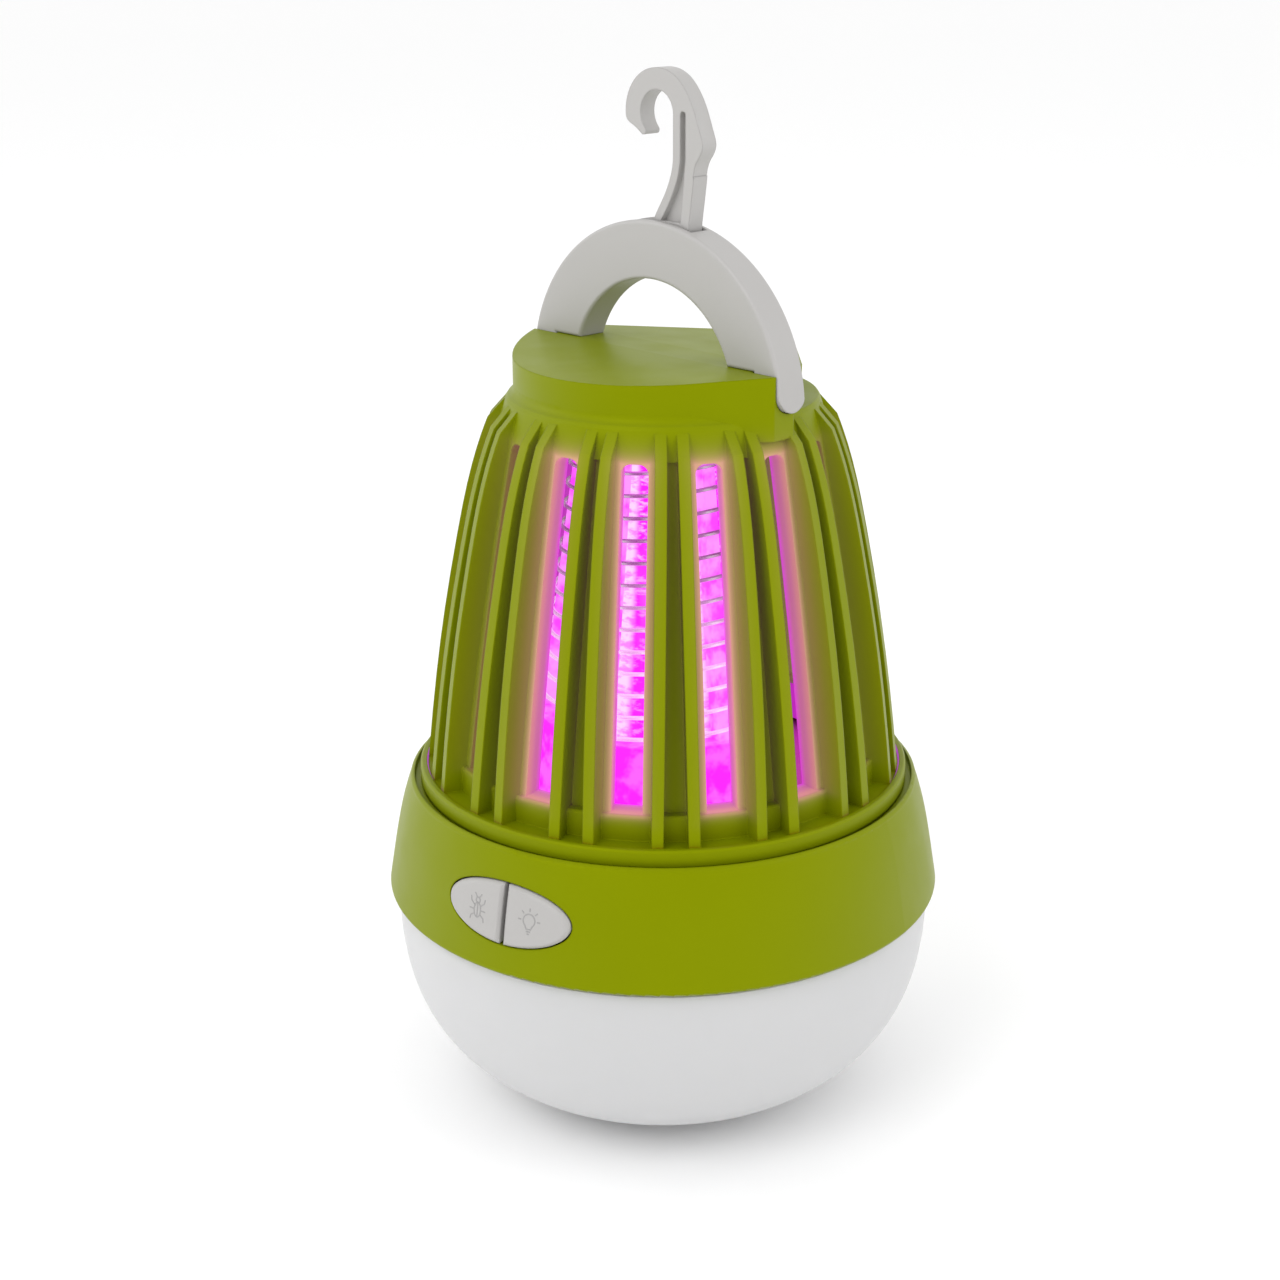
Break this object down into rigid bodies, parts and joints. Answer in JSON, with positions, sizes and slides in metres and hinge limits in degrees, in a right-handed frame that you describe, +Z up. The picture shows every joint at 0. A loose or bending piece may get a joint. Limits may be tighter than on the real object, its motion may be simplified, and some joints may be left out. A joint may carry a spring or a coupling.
{
  "type": "electric bug zapper",
  "caption": "Cordless bug zapper lantern: frosted lamp dome, finned cage around a lit high-voltage grid, two-part push button, arched carrying handle and fold-down hanging hook.",
  "frame": {"origin": "middle of the dome's flat underside, which it stands on", "axes": "+Z up along the lamp's axis to the hook, -Y towards the two buttons, +Y towards the charging port"},
  "size_m": [0.0864, 0.0864, 0.1594],
  "materials": {
    "green_shell": "satin moulded plastic, olive green",
    "green_rubber": "matt soft rubber, olive green",
    "grey_trim": "satin light grey plastic",
    "frosted_dome": "satin milky translucent plastic",
    "seal_rubber": "matt white silicone",
    "white_inner": "satin white plastic",
    "light_tube": "satin milky tube, lit violet",
    "grid_wire": "drawn steel wire",
    "screw_steel": "plated steel",
    "socket_steel": "drawn steel shell",
    "light_board": "white solder mask on aluminium",
    "led_package": "moulded lamp package",
    "cell_sleeve": "shrink sleeve, blue",
    "strap_tape": "woven tape, black",
    "circuit_board": "green solder mask",
    "transformer": "enamelled copper and tape",
    "capacitor": "dipped film capacitor, brown red",
    "switch_black": "satin black plastic"
  },
  "bodies": {
    "base": {"diffuser_dome": "frosted_dome", "dome_gasket": "seal_rubber", "main_housing": "green_shell", "deck": "green_shell", "chassis_tray": "white_inner", "tray_screws": "screw_steel", "led_board": "light_board", "white_leds": "led_package", "led_board_screws": "screw_steel", "battery_cell": "cell_sleeve", "battery_strap": "strap_tape", "main_board": "circuit_board", "board_screws": "screw_steel", "hv_transformer": "transformer", "hv_capacitors": "capacitor", "usb_socket": "socket_steel", "grid_terminals": "grid_wire", "switch_bodies": "switch_black", "switch_board": "circuit_board", "uv_led_board": "light_board", "uv_leds": "led_package", "light_tube": "light_tube", "grid_frame": "white_inner", "grid_wire_live": "grid_wire", "grid_wire_return": "grid_wire", "grid_cap": "white_inner", "grid_cap_screw": "screw_steel"},
    "seal": {"cage_seal": "seal_rubber"},
    "cage": {"cage": "green_shell", "handle": "grey_trim", "handle_screws": "screw_steel", "hook_pin": "screw_steel"},
    "hook": {"hook": "grey_trim"},
    "zap_button": {"zap_button": "grey_trim", "zap_plunger": "switch_black"},
    "lamp_button": {"lamp_button": "grey_trim", "lamp_plunger": "switch_black"},
    "port_cover": {"port_cover": "green_rubber"}
  },
  "joints": [
    {"name": "cage_twist", "type": "hinge", "parent": "base", "child": "seal", "pos_m": [0, 0, 0.0504], "axis": [0, 0, 1], "range_deg": [0, 20]},
    {"name": "cage_lift", "type": "slide", "parent": "seal", "child": "cage", "axis": [0, 0, 1], "range_m": [0, 0.08]},
    {"name": "hook_fold", "type": "hinge", "parent": "cage", "child": "hook", "pos_m": [0.00333, -0.00071, 0.1349], "axis": [-0.2079, -0.9781, 0], "range_deg": [0, 85]},
    {"name": "zap_press", "type": "slide", "parent": "base", "child": "zap_button", "axis": [0, 1, 0], "range_m": [0, 0.0005], "stiffness_N_per_m": 1200, "springref_m": -0.0005},
    {"name": "lamp_press", "type": "slide", "parent": "base", "child": "lamp_button", "axis": [0, 1, 0], "range_m": [0, 0.0005], "stiffness_N_per_m": 1200, "springref_m": -0.0005},
    {"name": "port_cover_open", "type": "hinge", "parent": "base", "child": "port_cover", "pos_m": [0, 0.0416, 0.04], "axis": [-1, 0, 0], "range_deg": [0, 95]}
  ]
}
